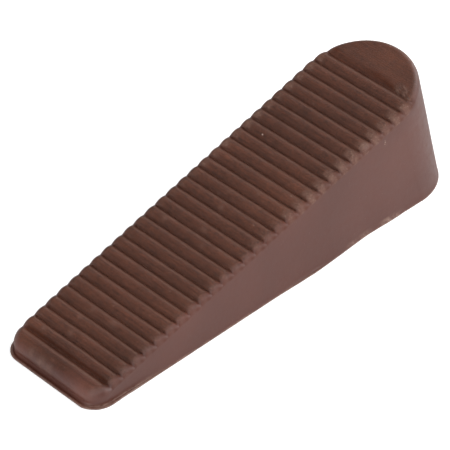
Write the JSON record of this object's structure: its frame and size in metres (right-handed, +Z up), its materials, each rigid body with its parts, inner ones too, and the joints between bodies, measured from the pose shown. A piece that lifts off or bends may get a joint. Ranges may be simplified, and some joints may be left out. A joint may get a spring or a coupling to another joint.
{
  "type": "door wedge",
  "caption": "Ribbed brown rubber door wedge with a rounded heel, smooth D-shaped landing, rounded nose and a thin moulded rim around the foot",
  "frame": {"origin": "middle of the flat base, halfway between toe and heel", "axes": "+X from the thin toe to the thick heel, +Y to the left across the width, +Z up out of the base"},
  "size_m": [0.12, 0.0364, 0.032],
  "materials": {
    "rubber": "matte"
  },
  "bodies": {
    "root": {"wedge_body": "rubber"}
  },
  "joints": []
}
